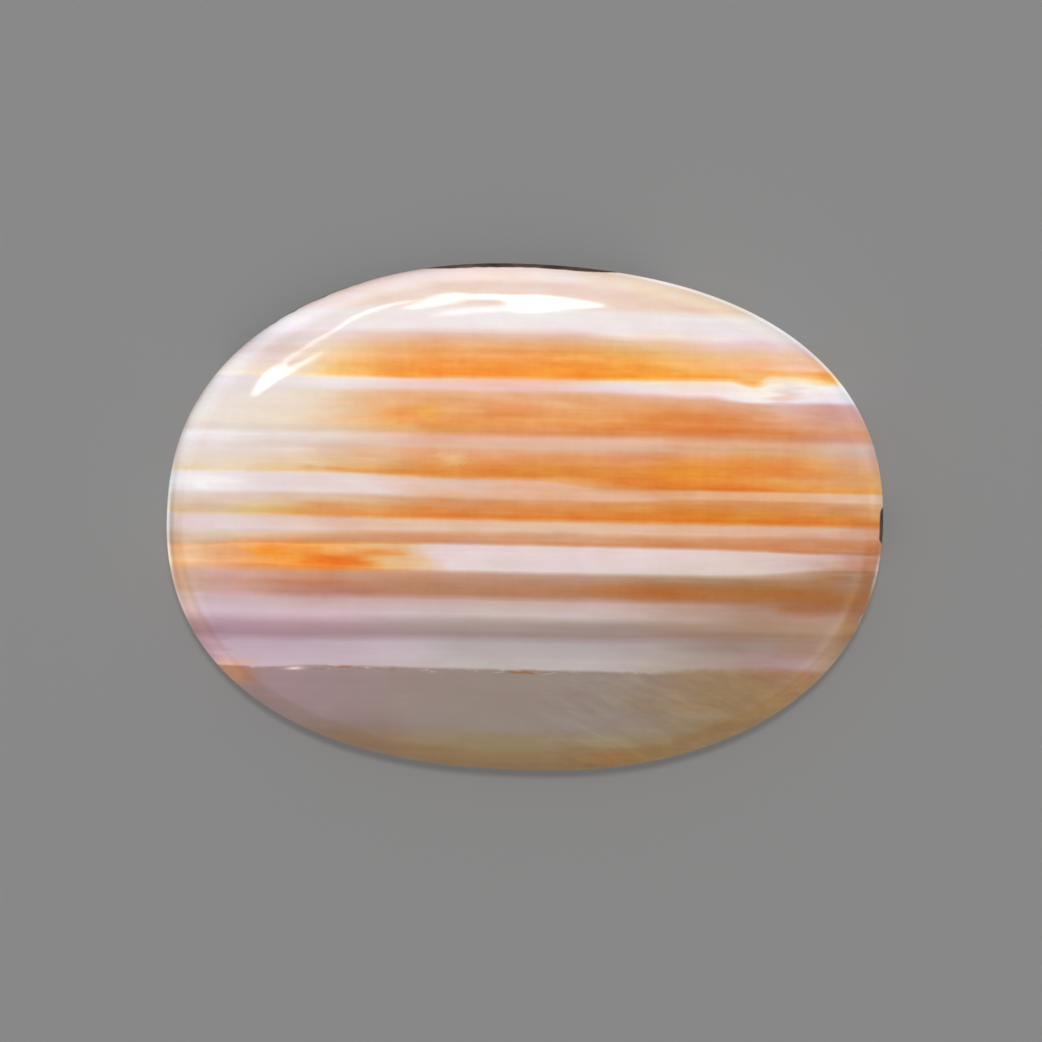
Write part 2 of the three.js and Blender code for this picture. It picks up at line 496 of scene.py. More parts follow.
STAINS = [Stain(*row) for row in (
    # The flame in the honey at the left end of the milk lens
    (-9.6, -1.45, 1, 0.3, 0.7, -0.1, -0.7), (-8.4, -1.6, 2, 0.6, 0.55, -0.03, -0.35),
    (-6.8, -1.8, 1.8, 0.36, 1.1, -0.05, -0.3), (-5.3, -1.42, 1.5, 0.16, 0.5, -0.05, -0.1),
    # Yellow to the right in the first orange, and its right end
    (3.9, 5.75, 4.4, 1.2, 0.05, 0, -0.4), (2.5, 5.9, 3.4, 0.35, 0.12, -0.03, 0),
    (-5, 5.6, 1.4, 0.8, -0.12, 0.05, 0), (-9.9, 5.8, 2.6, 1.3, 0, 0.15, 0.17),
    (-0.6, 5.6, 1.9, 0.6, 0.05, 0, -0.08), (1.7, 5.5, 1.5, 0.45, 0.08, 0.01, 0.08),
    (9.9, 5.65, 1.3, 0.5, -0.35, -0.03, 0.1), (9.1, 5.35, 1.7, 0.3, -0.2, 0.07, 0.03),
    (11.3, 5.5, 0.8, 0.4, 0.5, 0, 0), (5.3, 6.7, 3, 0.45, 0.13, -0.05, 0),
    (-8.7, 5.4, 1.5, 0.5, -0.12, 0.14, 0.03), (-7, 5.4, 1, 0.4, 0.16, 0.05, -0.1),
    # The beige smudge beside the knot, and the pale patch under it
    (9.8, 4.8, 0.8, 0.5, 0.02, 0.14, 0.12), (9.5, 4.55, 0.7, 0.3, 0.12, 0.03, 0.16),
    (9.7, 4.2, 1.1, 0.5, -0.1, 0.02, -0.05), (12, 4.1, 2.2, 1.1, 0, 0.16, 0.1),
    (3.5, 4.92, 2.8, 0.35, -0.2, 0.04, -0.08), (4, 4.45, 2.2, 0.25, 0, 0, 0.16),
    # Spots in the tan
    (-4.7, 3.75, 1.4, 0.45, 0.14, -0.09, -0.04), (-5, 3.25, 1.8, 0.45, -0.16, -0.03, -0.12),
    (-3.6, 3.8, 0.8, 0.5, 0.2, -0.05, -0.4), (-0.4, 3.95, 2, 0.35, 0.15, 0, 0.1),
    (6.2, 3.7, 3.8, 0.7, 0.38, 0, -0.06), (11.4, 3.1, 2.2, 0.4, -0.06, 0.06, 0.16),
    # The second orange and the sheets beside it
    (-2.8, 2, 0.8, 0.4, -0.3, 0, -0.1), (-1.5, 1.72, 1.2, 0.3, 0.1, 0, 0),
    (-4.9, 1.85, 1.6, 0.5, -0.14, 0.07, 0.02), (4.2, 2.3, 2, 0.35, 0, 0.09, 0.15),
    (1.2, 1.75, 3, 0.3, 0.18, 0.03, -0.25), (6, 1.75, 2.4, 0.65, 0.35, -0.06, -0.5),
    (8, 2.2, 1.5, 0.6, 0.12, 0, -0.2), (12.8, 2.2, 2.2, 1.1, -0.26, 0.16, 0.12),
    (-2.3, 1.15, 1.9, 0.4, -0.18, 0.06, -0.06), (5, 1.1, 3, 0.4, 0.14, 0.06, 0),
    (-7, 2.3, 1.8, 0.5, 0.1, 0.06, 0), (11, 1.5, 3, 0.35, -0.32, 0.07, 0.2),
    (11.8, 2.85, 1.8, 0.35, -0.1, 0, -0.17), (-2.2, 2.95, 1.6, 0.15, 0, 0, 0.14),
    (-2.8, 3.22, 2.6, 0.25, 0, 0, -0.24), (-2.2, 2.6, 1.5, 0.15, 0, 0, -0.12),
    (-12.2, 2.8, 2.6, 0.45, -0.02, -0.12, 0), (-12.2, 1.1, 2.6, 0.6, -0.03, -0.17, -0.08),
    (-2.2, 1.6, 1.7, 0.25, -0.14, 0, 0.11), (9.2, 1.5, 1.8, 0.3, -0.16, 0, -0.05),
    (10.6, 2.3, 2.2, 0.35, 0.06, 0, -0.15), (8, 0.52, 3, 0.25, -0.08, 0.08, 0.09),
    # Ochre in the deep orange
    (-7.2, 0.15, 1.8, 0.4, 0.22, 0.06, 0), (-5, 0.5, 1.8, 0.4, -0.16, 0.06, 0.04),
    (-2, 0.3, 1.8, 0.5, -0.14, 0.08, 0.09), (8.4, 0.05, 3.4, 0.3, 0.14, 0.03, -0.24),
    (6.8, 0.05, 1.8, 0.25, 0.12, 0, -0.26), (11.6, 0.1, 1.8, 0.3, 0.36, -0.02, -0.08),
    (11.9, 0.5, 1.8, 0.3, 0, 0.09, 0.2), (5.5, 0.2, 5, 0.5, 0.22, -0.02, -0.35),
    (-9.5, 0.1, 2.5, 0.3, 0.15, 0.08, -0.3), (-11.9, 0.1, 1.8, 0.3, -0.07, 0.16, -0.06),
    # Short brown dashes at the left, the threads and the left end of the lens
    (-8.1, 1.72, 0.6, 0.1, 0.17, 0.08, 0), (-7.2, 1.66, 0.8, 0.1, 0.17, 0.08, 0),
    (-6.8, -0.35, 1.6, 0.4, 0, 0, 0.14), (-9.8, -0.95, 2.6, 0.25, 0.12, -0.17, 0),
    (-11.8, -1.6, 2.4, 0.7, 0.05, 0.11, 0), (-12.4, -1.05, 1.5, 0.35, -0.06, -0.13, 0),
    (10.8, -0.65, 2.8, 0.3, 0.07, 0.13, 0), (1, -0.6, 1.8, 0.25, 0, 0.12, -0.09),
    (-2, -0.95, 1.6, 0.2, -0.18, 0.07, 0.05),
    # The rusty end of the milk lens and the patch under it
    (10.9, -1.55, 3.2, 0.6, 0, 0.1, 0.17), (4.8, -2.6, 3.4, 0.4, 0.2, -0.08, 0),
    (10.6, -2.95, 4.4, 0.28, -0.24, 0.12, -0.08), (9.6, -2.6, 2.6, 0.35, 0.2, -0.03, -0.2),
    (6, -2.25, 5.6, 0.45, 0, 0.11, -0.12), (6, -2.68, 7, 0.35, 0.13, -0.02, -0.1),
    (13, -2.3, 1.8, 0.9, -0.27, 0.03, 0.16), (12.8, -0.2, 1.8, 0.8, 0.03, 0.1, 0.1),
    (12.3, -1.75, 2, 1, 0.2, 0.1, 0), (13, -1.35, 1.5, 0.6, 0.15, 0.16, 0.26),
    (11.9, -1.25, 1, 0.3, -0.03, 0.02, 0.2), (12.5, -1.12, 1.8, 0.2, -0.36, 0, -0.17),
    (12.3, -1.5, 1.4, 0.3, 0, -0.09, 0), (12.2, -1.77, 1.8, 0.14, 0.14, 0.12, 0),
    (12.3, -2.05, 1.5, 0.35, -0.08, -0.04, 0), (10.8, -3.15, 2.2, 0.5, 0.4, 0, 0),
    # The paler left end of the rosewood, the dusk and the greys, and rust at the lower left edge
    (-10.4, -2.5, 7.5, 0.8, 0.18, -0.24, 0.16), (-7.3, -2.8, 2.4, 0.5, 0, 0.04, 0.15),
    (-3.6, -2.2, 3, 0.3, 0.1, -0.11, 0.05), (-11.2, -2.9, 3.2, 0.35, 0.1, -0.12, 0),
    (-7, -1.98, 1.5, 0.15, 0, 0, -0.2), (-4.6, -5, 2.4, 0.8, 0, -0.12, 0.09),
    (7, -4.75, 2.2, 0.3, 0, 0.13, 0), (3, -4, 3.4, 0.3, 0, 0.11, -0.04),
    (10.6, -3.6, 1.6, 0.3, 0, -0.1, 0.12), (10.6, -4.8, 1.6, 0.6, 0.13, 0.02, 0.05),
    (9.3, -5.4, 2.6, 0.9, 0, -0.04, 0.15), (10.4, -5.8, 2.2, 1.4, -0.08, 0, 0.26),
    (4.3, -9.1, 3, 0.5, 0.22, -0.15, -0.12), (10.9, 6.2, 1.4, 0.8, 0, 0.02, 0.22),
    (-9, -2.9, 5.5, 0.45, 0, 0.04, 0.1), (-12, -5.1, 1.1, 1.1, 0.05, 0.12, 0.32),
    (-10.9, -6.05, 1.2, 0.7, 0.9, -0.32, 0.04),
    # Along the rim. Those near the top that take smoke out are partly the rim's own glow,
    # partly painted light against the shade on its slope.
    (-6, -8.2, 2.6, 1.2, 0.02, 0.12, 0.03), (12.8, -2.4, 0.8, 0.8, 0, -0.03, -0.13),
    (5, 8.9, 3, 0.6, 0.02, -0.08, 0), (-1.4, 9, 2.2, 0.5, 0.04, -0.09, 0.05),
    (-9, 7.3, 1.3, 0.6, 0.02, -0.11, 0), (-12.5, -2.2, 1.2, 1.2, 0.02, -0.03, -0.11),
    (3.3, -8.8, 1.2, 0.5, 0.08, -0.03, 0.16),
)]
STAIN_FADE = (1.1, 0.1)  # from nothing to full, as shares of its reach
FRAY_WAVES = ((0.18, 1.3, 17), (0.12, -2.1, 29))  # reach, along X, along Y


def sheet_at(points):
    """The sheet that comes to the surface at each point, by its place along the short axis, the lean of the
    topmost sheets and the warps."""
    x, y, z = points.T
    sheet = y - LEAN * (HEIGHT - z) * smoothstep(LEAN_FROM, LEAN_TO, y)
    for warp in WARPS:
        bell = np.exp(-(((y - warp.line) / warp.reach) ** 2))
        sheet = sheet + warp.push * smoothstep(warp.starts, warp.full, x) * bell
    return sheet


def stained_at(points):
    """What the stains add at each point in iron, smoke and lilac. Each is full in its middle and fades in an
    even S, and fine waves along the bands fray its ends."""
    x, y = points.T[:2]
    frayed = x + sum(reach * np.sin(by_y * y + by_x * x) for reach, by_x, by_y in FRAY_WAVES)
    total = np.zeros((len(points), 3))
    for stain in STAINS:
        off = np.hypot((frayed - stain.x) / stain.along, (y - stain.y) / stain.across)
        total += smoothstep(*STAIN_FADE, off)[:, None] * (stain.iron, stain.smoke, stain.lilac)
    return total


def sheet_of(y):
    """The sheet that comes to the surface at this distance along the short axis of the dome, unwarped."""
    height = crown_height(min(abs(y) / (REACH_Y - RIM_WIDTH), 1))
    return y - LEAN * (HEIGHT - height) * smoothstep(LEAN_FROM, LEAN_TO, y)


class Value:
    """The output of a node. Sums, products and the calls below make a new node and give its output. What it
    meets in them is a number, a tuple or another such output."""

    def __init__(self, nodes, socket):
        self.nodes = nodes
        self.socket = socket

    def __add__(self, other):
        return self.nodes.math("ADD", self, other)

    def __radd__(self, other):
        return self.nodes.math("ADD", other, self)

    def __sub__(self, other):
        return self.nodes.math("SUBTRACT", self, other)

    def __rsub__(self, other):
        return self.nodes.math("SUBTRACT", other, self)

    def __mul__(self, other):
        return self.nodes.math("MULTIPLY", self, other)

    def __abs__(self):
        return self.nodes.math("ABSOLUTE", self)

    def at_least(self, other):
        return self.nodes.math("MAXIMUM", self, other)

    def at_most(self, other):
        return self.nodes.math("MINIMUM", self, other)

    def step(self, start, end, low=0, high=1):
        """Low before start, high after end, and an even S between."""
        ends = (start, end, low, high)
        return self.nodes.value("ShaderNodeMapRange", self, *ends, interpolation_type="SMOOTHSTEP")

    def bell(self, middle, width):
        """1 at the middle, falling as a bell to both sides."""
        off = self.nodes.math("DIVIDE", self - middle, width)
        return self.nodes.math("EXPONENT", off * off * -1)

    def noise(self, stretch, detail=2, rough=0.5):
        """Noise from -1 to 1 over a place, with grains of the given length along X, Y and Z."""
        node = self.nodes.add("ShaderNodeTexNoise", noise_dimensions="3D")
        scaled = self.nodes.vector("DIVIDE", self, stretch)
        for name, value in (("Vector", scaled), ("Scale", 1), ("Detail", detail), ("Roughness", rough)):
            self.nodes.put(node.inputs[name], value)
        return self.nodes.math("MULTIPLY_ADD", Value(self.nodes, node.outputs["Fac"]), 2, -1)

    def split(self):
        """The three parts of a vector."""
        node = self.nodes.add("ShaderNodeSeparateXYZ", self)
        return [Value(self.nodes, socket) for socket in node.outputs]


class Nodes:
    """The nodes of one material."""

    def __init__(self, name):
        self.material = bpy.data.materials.new(name)
        self.material.use_nodes = True
        self.tree = self.material.node_tree
        self.tree.nodes.clear()

    def add(self, kind, *values, **settings):
        """A new node, with the values put into its open inputs in turn."""
        node = self.tree.nodes.new(kind)
        for key, value in settings.items():
            setattr(node, key, value)
        for socket, value in zip((s for s in node.inputs if s.enabled), values):
            self.put(socket, value)
        return node

    def put(self, socket, value):
        if isinstance(value, Value):
            self.tree.links.new(value.socket, socket)
        else:
            socket.default_value = value

    def value(self, kind, *values, output=0, **settings):
        return Value(self, self.add(kind, *values, **settings).outputs[output])

    def math(self, operation, *values):
        return self.value("ShaderNodeMath", *values, operation=operation)

    def vector(self, operation, *values):
        return self.value("ShaderNodeVectorMath", *values, operation=operation)

    def scaled(self, measure, amount):
        """A vector times a changing amount."""
        node = self.add("ShaderNodeVectorMath", operation="SCALE")
        self.put(node.inputs[0], measure)
        self.put(node.inputs["Scale"], amount)
        return Value(self, node.outputs[0])

    def mix(self, share, first, second):
        """Between two vectors."""
        node = self.add("ShaderNodeMix", data_type="VECTOR")
        for name, value in (("Factor_Float", share), ("A_Vector", first), ("B_Vector", second)):
            self.put(next(s for s in node.inputs if s.identifier == name), value)
        return Value(self, next(s for s in node.outputs if s.identifier == "Result_Vector"))

    def kept(self, name, output="Fac"):
        """What the mesh keeps at its points under this name."""
        return self.value("ShaderNodeAttribute", output=output, attribute_name=name)

    def surface(self, shader):
        """The material, with this shader as its surface."""
        output = self.add("ShaderNodeOutputMaterial")
        self.tree.links.new(shader.outputs[0], output.inputs["Surface"])
        return self.material


def packed(values):
    """Values from -1 to 2 as a ramp's colour."""
    return tuple((value + 1) / 3 for value in values)


def band_ramp(nodes, sheet, bands, end, values_of):
    """A ramp along the sheets. Each band has two stops, just inside its edges, with what values_of gives for
    the band and its upper side, 0, or its lower side, 1."""
    low, high = sheet_of(end), sheet_of(bands[0].top)
    place = nodes.value("ShaderNodeMapRange", sheet, low, high, 0, 1)
    ramp = nodes.add("ShaderNodeValToRGB", place)
    stops = []
    for band, following in zip(bands, [*bands[1:], None]):
        top = sheet_of(band.top) - (band.edge if band is not bands[0] else 0)
        bottom = sheet_of(following.top) + following.edge if following else low
        stops.append((top, packed(values_of(band, 0))))
        stops.append((bottom, packed(values_of(band, 1))))
    elements = ramp.color_ramp.elements
    while len(elements) < len(stops):
        elements.new(1)
    for element, (position, colour) in zip(elements, sorted(stops)):
        element.position = (position - low) / (high - low)
        element.color = (*colour, 1)
    return Value(nodes, ramp.outputs["Color"])


def both_ramps(nodes, sheet, values_of):
    """The ramps of the upper and the lower half, joined at the split and unpacked."""
    upper = [band for band in BANDS if band.top > SPLIT]
    lower = [band for band in BANDS if band.top <= SPLIT]
    first = band_ramp(nodes, sheet, upper, SPLIT, values_of)
    second = band_ramp(nodes, sheet, lower, BAND_END, values_of)
    edge = lower[0].edge
    joined = nodes.mix(sheet.step(SPLIT - edge, SPLIT + edge), second, first)
    return nodes.vector("MULTIPLY_ADD", joined, (3, 3, 3), (-1, -1, -1))


class Agate:
    """Banded agate. Each place has a measure of iron, smoke and lilac, and its colour is what white light
    keeps after losing a share for each. The steps below change these measures in turn."""

    def __init__(self):
        self.nodes = Nodes("banded_agate")
        here = self.nodes.value("ShaderNodeTexCoord", output="Object")
        self.place = self.nodes.vector("MULTIPLY", here, (1 / MM,) * 3)
        self.x, self.y, self.z = self.place.split()
        self.inset = self.nodes.kept("inset")
        self.chipped = self.nodes.kept("chipped")
        self.fine = self.place.noise((0.9, 0.5, 1.2), 3, 0.6)
        self.cloud = self.place.noise((3.2, 0.5, 2.5), 3, 0.55)
        self.laminae = self.place.noise((11, 0.16, 6))
        self.sheet = self.find_sheet()
        self.iron, self.smoke, self.lilac = self.measure_bands()
        self.fade_ends()
        self.fill_lens()
        self.vary()
        self.add_flecks()
        self.tint_rim_and_paint_light()
        self.skin, self.skin_colour = self.leave_skin()

    def find_sheet(self):
        """Which sheet comes to the surface. Where the lilac breaks off, the line frays to the right."""
        wander = self.place.noise((9, 3, 7), 1) * 0.05
        fraying = self.x.step(1.5, 5.5) * self.y.bell(-5.75, 0.6) * 0.22
        sheet = self.nodes.kept("sheet") + wander + self.fine * (fraying + 0.03)
        for blur in BLURS:
            off = sheet - blur.line
            near = self.x.bell(blur.x, blur.along) * off.bell(0, blur.across) * -blur.share
            sheet = sheet + off * near
        return sheet

    def measure_bands(self):
        """The three measures of each sheet along the bands, bleached to the left, where the paleness is
        partly the stone's own and partly painted light from the left, and stained to the right, and the
        stains, which the noise breaks up."""
        nodes, x, cloud = self.nodes, self.x, self.cloud
        parts, west, east = (
            both_ramps(nodes, self.sheet, values_of)
            for values_of in (
                lambda band, side: (band.iron[side], band.smoke[side], band.lilac[side]),
                lambda band, side: (band.bleach_and_light[side], -band.bleach_and_light_x / 10, band.pink),
                lambda band, side: band.east,
            )
        )
        bleach_and_light, bleach_and_light_x, pink = west.split()
        # The pale left end: partly bleaching, partly painted light from the left
        beyond = (x * -1 + bleach_and_light_x * -10 + cloud * 1.6).step(-2.2, 2.6)
        left = 1 - bleach_and_light * beyond
        parts = nodes.vector("MULTIPLY", parts, nodes.value("ShaderNodeCombineXYZ", left, 1, left))
        eastern = (x + cloud * 1.2).step(2, 10)
        parts = nodes.vector("ADD", parts, nodes.mix(eastern, (0, 0, 0), east))
        broken = nodes.math("MULTIPLY_ADD", self.fine, 0.4, 1)
        parts = nodes.vector("ADD", parts, nodes.scaled(nodes.kept("stained", "Vector"), broken))
        iron, smoke, lilac = parts.split()
        return iron, smoke, lilac + pink * beyond

    def fade_ends(self):
        """Paler again at both ends, and at the right in the upper oranges. The lower left is more lilac and
        less smoky, the lower right end less smoky.
        At the left end this paleness is partly the stone's own and partly painted light from the left."""
        x, y = self.x, self.y
        right_fade = x.step(8.6, 12.2) * y.step(-0.6, 0.4) * -0.36
        upper_fade = x.step(3.5, 9.5) * y.step(4.95, 5.25) * -0.38
        # Paler left end: partly its own colour, partly painted light from the left
        left_fade_and_light = x.step(-7.8, -11.5) * -0.55
        corner_fade = x.step(-7, -9.5) * y.step(4.9, 5.3) * -0.2
        self.iron *= 1 + left_fade_and_light + corner_fade + right_fade.at_most(upper_fade)
        blush = x.step(9.3, 12.3) * y.step(0.2, 0.7) * y.step(5.2, 4.8) * 0.08
        lower_left = x.step(-1, -10) * y.step(-2.8, -4.2)
        lower_right = x.step(8, 12) * y.step(-3.4, -4.2)
        self.lilac = self.lilac + blush + lower_left * 0.36
        self.smoke = self.smoke + lower_left * -0.16 + lower_right * -0.18

    def fill_lens(self):
        """Honey fills the left end of the milk lens."""
        x = self.x
        in_lens = self.sheet.step(-2.2, -2.06) * self.sheet.step(-0.98, -1.09)
        honeyed = in_lens * (x + self.cloud * 1.2 + self.fine * 0.5).step(-3.1, -4.5)
        honey = x.step(-3.5, -8, 0.4, 0.78) + x.step(-9.6, -12.4, 0, -0.36)
        self.iron += honeyed * honey
        self.smoke += honeyed * x.step(-4, -8.6, -0.05, -0.24)
        self.lilac += honeyed * x.step(-9, -11.5, -0.16, 0)

    def vary(self):
        """Laminae, blotches, fibres across the bands, and slanting wisps in the grey."""
        laminae, cloud = self.laminae, self.cloud
        blotches = self.place.noise((1.5, 0.45, 1.5), 3, 0.55)
        fibres = self.place.noise((0.3, 1.3, 0.5))
        self.iron *= 1 + laminae * 0.09 + cloud * 0.22 + blotches * 0.22 + fibres * 0.07
        slanted = self.nodes.vector("ADD", self.place, self.nodes.scaled((0, 0.4, 0), self.x))
        wisps = slanted.noise((1.3, 0.4, 1.3), 3, 0.6)
        in_grey = self.y.step(-5.4, -5.9) * self.x.step(-1, 3)
        smoke = self.smoke + laminae * 0.04 + cloud * 0.04 + blotches * 0.05 + fibres * 0.015
        self.smoke = smoke + wisps * in_grey * 0.23
        self.lilac += self.place.noise((2.2, 0.7, 2)) * 0.11

    def add_flecks(self):
        """White, ochre and olive flecks where the lilac breaks off."""
        x = self.x
        fleck = self.place.noise((0.5, 0.12, 0.6))
        break_off = self.sheet.bell(-5.76, 0.08)
        notch = x.bell(-8.5, 0.35) * self.sheet.bell(-5.8, 0.07)
        white = break_off * fleck.step(0.15, 0.4) * x.step(5, 3) * 0.5
        ochre = break_off * fleck.step(0.1, -0.2) * x.bell(0, 1) * 0.55
        olive = break_off * fleck.step(0, -0.3) * x.bell(-6.5, 2) * 0.5
        self.smoke += white.at_least(notch) * -0.9
        self.iron += ochre.at_least(olive) * 0.9

    def tint_rim_and_paint_light(self):
        """The rim strip is made paler, most of all at the top and the right. Part of this is the thin rim's
        own glow, and part is painted light that evens out the shade on its steep slope, also at the lower
        left end.
        Below it is warmer, with a painted highlight, a pale line, on the crease at both ends. At both ends
        and the upper right its very edge carries a painted reflection, a pale line, with a painted dark line
        inside it at the left.
        At the upper left the very edge is darker."""
        x, y, inset = self.x, self.y, self.inset
        outside = inset.step(0.85, 0.45)
        lower_left = x.step(-2, -6) * y.step(-3.5, -5.5)
        upper_left = x.step(3, 0) * y.step(5, 7)
        # Paler rim: partly the thin rim's own glow, partly painted light against the shade on its steep
        # slope
        glow_and_painted_light = y.step(-1, 3, 0.35, 1).at_least(x.step(5, 10)) + lower_left * -0.1 + upper_left * 0.3
        # Painted highlight: a pale line on the crease at both ends
        at_ends = y.bell(-3.2, 1.7) + x.step(6, 9) * y.bell(-5.8, 1.5)
        crease = inset.bell(0.78, 0.12) * at_ends * abs(x).step(6, 9)
        # Painted light on the rim at the lower left end, against the shade on its slope
        left_rim_painted_light = x.step(-9.8, -11) * y.step(-1.2, -2.6) * inset.step(0.75, 0.4)
        right_end = x.step(11, 12.6) * y.step(0.5, -1.5)
        # Painted reflection at the very edge: a pale line at both ends and the upper right, with a painted
        # dark line inside it at the left
        left_reflection_line = x.step(-11.7, -12.6) * y.bell(-0.7, 2.2)
        right_reflection_line = x.step(12.3, 12.8) * y.bell(-2, 0.8)
        upper_reflection_line = x.step(2, 5) * y.step(3.5, 5) * 0.7
        painted_edge_reflection = inset.bell(0.06, 0.08) * left_reflection_line.at_least(right_reflection_line).at_least(upper_reflection_line)
        painted_dark_edge_line = inset.bell(0.23, 0.08) * left_reflection_line
        # Darker at the very edge at the upper left
        dark_upper_left_edge = inset.bell(0, 0.12) * x.step(0, -4) * y.step(0.5, 2.5)
        warm = y.step(1, -2.5) * 0.16 + right_end * 0.16 + lower_left * -0.08
        warm = warm + x.step(1, 3) * y.step(5, 7) * 0.08
        self.iron = (self.iron + outside * warm) * (1 - painted_edge_reflection * 0.8)
        smoke = self.smoke + outside * (glow_and_painted_light * -0.24 + right_end * 0.12) + left_rim_painted_light * -0.22
        self.smoke = smoke + crease * -0.08 + painted_edge_reflection * -0.4 + painted_dark_edge_line * 0.16 + dark_upper_left_edge * 0.35
        self.lilac += outside * x.step(3, -3) * y.step(0, 3) * 0.08

    def leave_skin(self):
        """Painted shade on the girdle's edge, made as ragged patches of a rough, raised dark brown crust,
        and their colour: at the top, the upper left and the right end.
        Each is a height up to which a patch reaches, and noise frays it."""
        x, y, z = self.x, self.y, self.z
        top = y.step(7.6, 8.8) * abs(x + 0.3).step(7.5, 2) * 1.87
        left = x.step(-3, -6) * x.step(-12.6, -10) * y.step(2, 4.5) * 1.48
        coarse = self.place.noise((1.1, 1.1, 0.9), 4, 0.65)
        ragged = coarse * 0.75 + self.place.noise((0.25, 0.25, 0.2)) * 0.2
        from_end = abs(y + 0.05 + ragged * z.step(1.5, 0.8, 0, 1.6))
        right = x.step(12.2, 12.9) * from_end.step(1.35, 0.45) * 1.82
        patches = top.at_least(left).at_least(right)
        frayed_by = ragged * z.step(1.6, 1.1, 0.12, 1)
        off_patch = (patches + ragged * 1.3).step(0.75, 0.6, 0, -2)
        skin = (z - (patches + frayed_by + off_patch)).step(0.08, -0.08)
        return skin, self.nodes.mix(ragged.step(-0.3, 0.2), (0.15, 0.08, 0.04), (0.045, 0.02, 0.01))

    def colour(self):
        """Each of red, green and blue falls off evenly with what the three measures take from it."""
        nodes = self.nodes
        lost = nodes.vector("ADD", nodes.scaled(IRON, self.iron), nodes.scaled(SMOKE, self.smoke))
        lost = nodes.vector("ADD", lost, nodes.scaled(LILAC, self.lilac))
        left = [nodes.math("EXPONENT", channel * -1) for channel in lost.split()]
        colour = nodes.value("ShaderNodeCombineXYZ", *left)
        colour = nodes.mix(self.chipped * 0.3, colour, (0.78, 0.72, 0.68))
        # Painted shade on the girdle: the dark brown crust patches
        return nodes.mix(self.skin, colour, self.skin_colour)

    def material(self):
        """A polished dome, a duller girdle, a lapped back and frosted chips, with laminae that the polish
        undercuts by a hair and lap marks on the back."""
        nodes, z, laminae, skin = self.nodes, self.z, self.laminae, self.skin
        back = z.step(0.06, 0.02)
        roughness = 0.07 + abs(laminae) * 0.03 + z.step(1.7, 1.35) * 0.1
        roughness = roughness + back * 0.18 + self.chipped * 0.25 + skin * 0.4
        lap = self.place.noise((7, 0.06, 1)) * back
        bump = nodes.add("ShaderNodeBump")
        shader = nodes.add("ShaderNodeBsdfPrincipled")
        for node, name, value in (
            (bump, "Strength", 1),
            (bump, "Distance", MM),
            (bump, "Height", laminae * 0.0006 + lap * 0.004 + skin * 0.02),
            (shader, "Base Color", self.colour()),
            (shader, "Roughness", roughness),
            (shader, "Normal", Value(nodes, bump.outputs[0])),
            (shader, "IOR", 1.54),
            (shader, "Subsurface Weight", 0.3),
            (shader, "Subsurface Radius", (1, 0.6, 0.45)),
            (shader, "Subsurface Scale", 0.35 * MM),
        ):
            nodes.put(node.inputs[name], value)
        return nodes.surface(shader)


# Stage


def make_camera():
    """Straight above the stone, at the height where its girdle has the photograph's scale."""
    px = 2 * REACH_X / STONE_LONG_PX
    away = px * FRAME_PX * LENS / SENSOR
    off = np.array((FRAME_PX / 2 - STONE_PX[0], STONE_PX[1] - FRAME_PX / 2)) * px
    right = np.array((np.cos(STONE_ROLL), np.sin(STONE_ROLL)))
    up = np.array((-np.sin(STONE_ROLL), np.cos(STONE_ROLL)))
    data = bpy.data.cameras.new("camera")
    data.lens = LENS
    data.sensor_width = SENSOR
    data.clip_start = 0.01
    camera = bpy.data.objects.new("camera", data)
    camera.location = Vector((*(off[0] * right + off[1] * up), GIRDLE_TOP + away)) * MM
    camera.rotation_euler = (0, 0, STONE_ROLL)
    bpy.context.collection.objects.link(camera)
    bpy.context.scene.camera = camera
    return camera


WALK_STEPS = 12
SIGHT_STEPS = 6
SLOPE_STEP = 0.05


def dome_height(x, y):
    """Height of the dome over a place, found by walking the oval's reach and turn towards it."""
    shoulder = REACH_Y - RIM_WIDTH
    squeeze = np.array((REACH_X - RIM_WIDTH, shoulder))
    goal = (x + 1j * y * squeeze[0] / squeeze[1]) / squeeze[0]
    reach, turn = np.abs(goal), np.angle(goal)
    for _ in range(WALK_STEPS):
        here = oval_point(reach * shoulder, turn) / squeeze
        here = here[..., 0] + 1j * here[..., 1]
        reach = reach * np.abs(goal) / np.abs(here)
        turn = turn + np.angle(goal / here)
    return surface(dome_place(reach * shoulder), turn)[..., 2]


def mirrored(camera, pixels):
    """Where the dome mirrors the camera's sight at these pixels of the photograph: the points, and the
    directions that the sight takes from there."""
    off = pixels - FRAME_PX / 2
    slant = (off[..., 0] - 1j * off[..., 1]) * SENSOR / LENS / FRAME_PX * np.exp(1j * STONE_ROLL)
    eye = np.array(camera.location) / MM
    z = np.full(slant.shape, (RIM_TOP + HEIGHT) / 2)
    for _ in range(SIGHT_STEPS):
        x, y = eye[0] + slant.real * (eye[2] - z), eye[1] + slant.imag * (eye[2] - z)
        z = dome_height(x, y)
    step = SLOPE_STEP
    slope_x = (dome_height(x + step, y) - dome_height(x - step, y)) / (2 * step)
    slope_y = (dome_height(x, y + step) - dome_height(x, y - step)) / (2 * step)
    normal = np.stack((-slope_x, -slope_y, np.ones_like(z)), axis=-1)
    normal /= np.linalg.norm(normal, axis=-1, keepdims=True)
    sight = np.stack((slant.real, slant.imag, -np.ones_like(z)), axis=-1)
    sight /= np.linalg.norm(sight, axis=-1, keepdims=True)
    bounce = sight - 2 * np.sum(sight * normal, axis=-1, keepdims=True) * normal
    return np.stack((x, y, z), axis=-1), bounce


class Glint(NamedTuple):
    """A glint on the dome: how bright the pane is that makes it, and its knots, each with the pixel of its
    middle line and its width there."""

    bright: float
    knots: tuple


